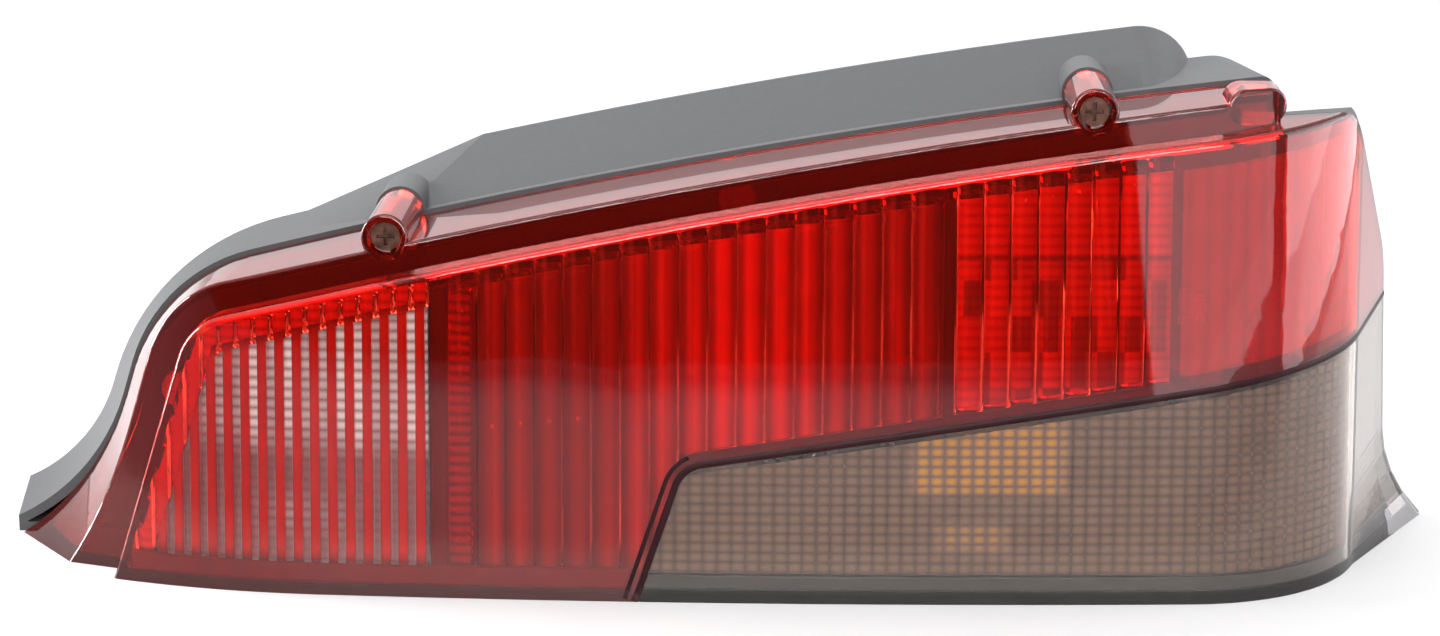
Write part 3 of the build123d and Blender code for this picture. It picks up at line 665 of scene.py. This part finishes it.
def smoked_tone(s, z):
    """Light pillows with dark grooves, painted highlights and painted shade, with a painted amber glow
    before the indicator bulb.
    """
    crest = pillow(s, z) ** CREST_ROUNDNESS
    shade = 1 - SIDE_SHADE * (rise(s, STOP_END_X, CORNER_FADE) + rise(s, SIDE_START, SIDE_FADE))
    plain = shade * LIGHT_TONE * (PILLOW_GROOVE + (1 - PILLOW_GROOVE) * crest)
    # Painted amber glow where the indicator's amber cap lies behind the pillows
    amber = max(patch(s, z, AMBER_UPPER), AMBER_LOWER_TONE * patch(s, z, AMBER_LOWER))
    return plain + (1 - LIGHT_TONE) * amber * (AMBER_GROOVE + (1 - AMBER_GROOVE) * crest)


def grid_high(s):
    """Top of the pillows under the seam."""
    return max(seam_along(s) - GRID_SEAM_MARGIN, GRID_FOOT + GRID_LEAST_HEIGHT)


for name, span, columns in (
    ("smoked_grid_left", (GRID_START, GRID_MIDDLE), 220),
    ("smoked_grid_right", (GRID_MIDDLE, GRID_END), 380),
):
    plate(
        name, "smoked_prisms", span, (columns, GRID_ROWS),
        lambda s: GRID_FOOT, grid_high, GRID_DEPTH, THIN_PLATE,
        lambda s, z: PILLOW_RELIEF * pillow(s, z) ** PILLOW_ROUNDNESS, smoked_tone,
    )

# Dark uprights before the rims of the cups
MASK_WIDTH = 2.6
MASK_DEPTH = 6.6
MASK_RELIEF = 0.5


def below_seam(s):
    """Top of the uprights under the seam."""
    return seam_z(s) - WIDE_SEAM_MARGIN


for name, at, foot, top in (
    ("tail_stop_mask", TAIL_STOP_X, above_seam, below_top),
    ("stop_end_mask", STOP_END_X, above_seam, below_top),
    ("marker_mask", MARKER_INDICATOR_X, lambda s: GRID_FOOT, below_seam),
    ("indicator_mask", STOP_END_X, lambda s: GRID_FOOT, below_seam),
):
    plate(
        name, "divider", (at - MASK_WIDTH / 2, at + MASK_WIDTH / 2), (8, 30),
        foot, top, MASK_DEPTH, PLATE_THICKNESS,
        lambda s, z, at=at: MASK_RELIEF * bump(s, at, MASK_WIDTH), lambda s, z: 1,
    )

# Dark strips at the foot, in the skin of the red lens and behind the smoked lens: painted shade that stands
# for the shaded floor inside the lamp, the smoked one in the rubber look for its dark colour
FOOT_STRIP_Z = 2.7
FOOT_STRIP_PITCH = 3
RED_STRIP_SPAN = (-148, SEAM_FOOT_X - 1)
RED_STRIP_DEPTH = 1.5
SMOKED_STRIP_SPAN = (SEAM_FOOT_X + 1, GRID_END)
SMOKED_STRIP_TOP = 6.2
SMOKED_STRIP_THICKNESS = 0.8
for name, look, span, top, depth, thickness in (
    ("foot_shade_red", "foot_red", RED_STRIP_SPAN, BAR_FOOT, RED_STRIP_DEPTH, THIN_PLATE),
    ("foot_shade_smoked", "rubber", SMOKED_STRIP_SPAN, SMOKED_STRIP_TOP, GRID_DEPTH, SMOKED_STRIP_THICKNESS),
):
    plate(
        name, look, span, (200, 6),
        lambda s: FOOT_STRIP_Z, lambda s, top=top: top, depth, thickness,
        lambda s, z: STRIP_RELIEF * wave(s, FOOT_STRIP_PITCH), lambda s, z: 1,
    )

# Dark beads along the seam of the two lenses
BRANCH_STEPS = 12
CORNER_STEPS = 12
RUN_STEPS = 89
RUN_END_GAP = 2
BEAD_SECTION = 7
BEAD_HEIGHT = 0.12
BEAD_SINK = 0.15
BEAD_FOOT = 0.02


def seam_route(offset):
    """Points along the seam and its rounded corner, moved sideways: distance along the front, and height."""
    foot = Vector((SEAM_FOOT_X, 0))
    corner = Vector((SEAM_CORNER_X, seam_z(SEAM_CORNER_X)))
    up = (corner - foot).normalized()
    run = Vector((1, SEAM_SLOPE)).normalized()
    angle = up.angle(run)
    reach = SEAM_CORNER * math.tan(angle / 2)
    centre = corner - up * reach - left_of(up) * SEAM_CORNER
    points = []
    for i in range(BRANCH_STEPS):
        points.append(foot.lerp(corner - up * reach, i / BRANCH_STEPS) + left_of(up) * offset)
    for i in range(CORNER_STEPS + 1):
        spoke = turned(left_of(up), -angle * i / CORNER_STEPS)
        points.append(centre + spoke * (SEAM_CORNER + offset))
    start = (corner + run * reach).x
    end = SIDE_START + SIDE_LENGTH - RUN_END_GAP
    for i in range(1, RUN_STEPS + 1):
        s = start + (end - start) * i / RUN_STEPS
        points.append(Vector((s, seam_along(s))) + left_of(run) * offset)
    return points


def bead(name, route, width):
    """Low rounded bead on the lens front along a route."""
    points, faces = [], []
    for i, place in enumerate(route):
        before, after = route[max(i - 1, 0)], route[min(i + 1, len(route) - 1)]
        across = left_of((after - before).normalized())
        for j in range(BEAD_SECTION):
            a = math.pi * j / (BEAD_SECTION - 1)
            spot = place + across * (width / 2 * math.cos(a))
            depth = BEAD_SINK - (BEAD_HEIGHT + BEAD_SINK) * math.sin(a)
            points.append(behind_front(spot.x, max(spot.y, BEAD_FOOT), depth))
    for i in range(len(route) - 1):
        for j in range(BEAD_SECTION):
            a, b = i * BEAD_SECTION + j, i * BEAD_SECTION + (j + 1) % BEAD_SECTION
            faces.append((a, b, b + BEAD_SECTION, a + BEAD_SECTION))
    faces.append(tuple(range(BEAD_SECTION)))
    last = (len(route) - 1) * BEAD_SECTION
    faces.append(tuple(last + j for j in reversed(range(BEAD_SECTION))))
    new_piece(name, "seam", points, faces)


SEAM_OFFSET = 0.2
SEAM_WIDTH = 1.9
BRANCH_OFFSET = 2.8
BRANCH_WIDTH = 1.2
BRANCH_POINTS = 22
bead("seam_bead", seam_route(SEAM_OFFSET), SEAM_WIDTH)
bead("seam_branch_bead", seam_route(BRANCH_OFFSET)[:BRANCH_POINTS], BRANCH_WIDTH)

# Floor, in metres, pale round the lamp and darker in front of it
FLOOR_FRONT = -3.2
FLOOR_BACK = 9
FLOOR_SIDE = 7
FLOOR_FADE = (-0.34, -0.17)
FLOOR_DARK = (0.165, 0.152, 0.178)
FLOOR_PALE = (0.51, 0.51, 0.51)
FLOOR_GRAIN = 40
FLOOR_ROUGH = (0.6, 0.7)
floor_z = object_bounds()[0].z
floor_mesh = bpy.data.meshes.new("floor")
floor_mesh.from_pydata(
    [
        (-FLOOR_SIDE, FLOOR_FRONT, floor_z),
        (FLOOR_SIDE, FLOOR_FRONT, floor_z),
        (FLOOR_SIDE, FLOOR_BACK, floor_z),
        (-FLOOR_SIDE, FLOOR_BACK, floor_z),
    ],
    [],
    [(0, 1, 2, 3)],
)
floor = bpy.data.objects.new("floor", floor_mesh)
scene.collection.objects.link(floor)
floor_look, floor_tree, floor_shader = new_material("floor")
floor_place = coordinates(floor_tree, "Object")
behind = smooth(floor_tree, split(floor_tree, floor_place)["Y"], FLOOR_FADE, (0, 1))
floor_colour = between(floor_tree, behind, FLOOR_DARK, FLOOR_PALE, (0, 1))
floor_tree.links.new(floor_colour, floor_shader.inputs["Base Color"])
floor_gloss = mapped(floor_tree, noise(floor_tree, floor_place, FLOOR_GRAIN), NOISE_SPAN, FLOOR_ROUGH)
floor_tree.links.new(floor_gloss, floor_shader.inputs["Roughness"])
floor_mesh.materials.append(floor_look)

# White studio, dark only low in front of the lamp
STUDIO_COLOUR = (0.97, 0.985, 1, 1)
STUDIO_LIGHT = 1.15
STUDIO_FRONT = 0.03
STUDIO_AHEAD = (-0.75, -0.1)
STUDIO_ABOVE = (0.25, 0.7)
world = bpy.data.worlds.new("studio")
scene.world = world
world.use_nodes = True
studio_tree = world.node_tree
background = studio_tree.nodes["Background"]
way = split(studio_tree, coordinates(studio_tree, "Generated"))
ahead = smooth(studio_tree, way["Y"], STUDIO_AHEAD, (STUDIO_FRONT, STUDIO_LIGHT))
above = smooth(studio_tree, way["Z"], STUDIO_ABOVE, (0, STUDIO_LIGHT))
studio_tree.links.new(larger(studio_tree, ahead, above), background.inputs["Strength"])
socket(background, "Color", STUDIO_COLOUR)

# Lights, in metres and watts
WHITE = (1, 1, 1)
COOL = (0.98, 0.95, 1)


def softbox(name, spot, aim, width, height, power, tint=WHITE):
    """Large soft light that the camera doesn't see."""
    data = bpy.data.lights.new(name, "AREA")
    data.shape = "RECTANGLE"
    data.size = width
    data.size_y = height
    data.energy = power
    data.color = tint
    light = bpy.data.objects.new(name, data)
    light.location = spot
    light.rotation_mode = "QUATERNION"
    light.rotation_quaternion = (Vector(aim) - Vector(spot)).to_track_quat("-Z", "Y")
    light.visible_camera = False
    scene.collection.objects.link(light)


softbox("light_above", (-0.2, -0.55, 1.3), (0, -0.05, 0), 1.0, 0.5, 7)
softbox("light_front", (0.1, -2.1, 0.78), (0, -0.05, 0), 1.7, 0.9, 52)
softbox("light_front_right", (0.93, -1.3, 0.3), (0.1, -0.05, 0), 1.33, 0.9, 9, COOL)
softbox("light_right", (1.3, -0.09, 0.3), (0.1, -0.05, 0), 1.1, 0.9, 8, COOL)
softbox("light_right_near", (0.62, 0.05, 0.02), (0.1, 0.05, 0.02), 0.7, 0.22, 1.5, COOL)
softbox("light_left", (-1.3, 0.15, 0.3), (-0.15, -0.03, -0.05), 0.6, 0.7, 40)
softbox("light_back", (0, 1.6, 0.9), (0, 0, 0), 2.0, 0.7, 8)

# Camera
CAMERA_AIM = Vector((0, -71, -31)) * MM
CAMERA_DISTANCE = 0.85
CAMERA_LENS = 85
CAMERA_SENSOR = 36
AZIMUTH = math.radians(2)
ELEVATION = math.radians(14)
away = Vector(
    (
        math.sin(AZIMUTH) * math.cos(ELEVATION),
        -math.cos(AZIMUTH) * math.cos(ELEVATION),
        math.sin(ELEVATION),
    )
)
camera_data = bpy.data.cameras.new("camera")
camera_data.lens = CAMERA_LENS
camera_data.sensor_width = CAMERA_SENSOR
camera = bpy.data.objects.new("camera", camera_data)
camera.location = CAMERA_AIM + away * CAMERA_DISTANCE
camera.rotation_mode = "QUATERNION"
camera.rotation_quaternion = (-away).to_track_quat("-Z", "Y")
scene.collection.objects.link(camera)
scene.camera = camera
scene.view_settings.view_transform = "Standard"
